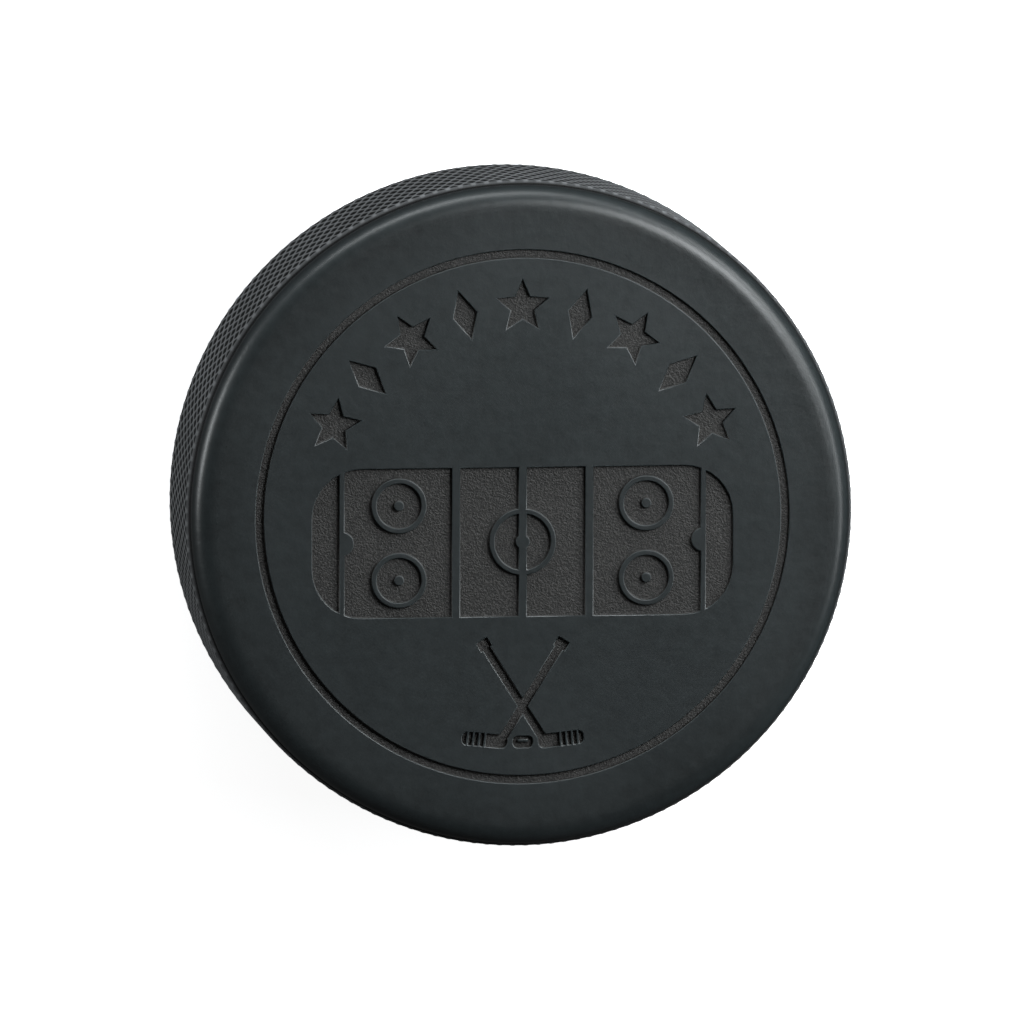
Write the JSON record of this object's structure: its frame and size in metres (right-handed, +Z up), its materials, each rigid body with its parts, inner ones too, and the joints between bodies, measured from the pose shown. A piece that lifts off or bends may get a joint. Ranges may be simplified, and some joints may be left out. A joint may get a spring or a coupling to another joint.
{
  "type": "hockey puck",
  "caption": "Ice hockey puck: a solid moulded rubber disc with rolled edges, a knurled rim and a plain engraved ornament on its upper face.",
  "frame": {"origin": "middle of the underside, on the surface that the puck lies on", "axes": "+Z up along the puck's own axis, through both faces; +Y towards the top of the engraving and +X to its right"},
  "size_m": [0.0762, 0.0762, 0.0254],
  "materials": {
    "vulcanised_rubber": "matte"
  },
  "bodies": {
    "root": {"puck_body": "vulcanised_rubber"}
  },
  "joints": []
}
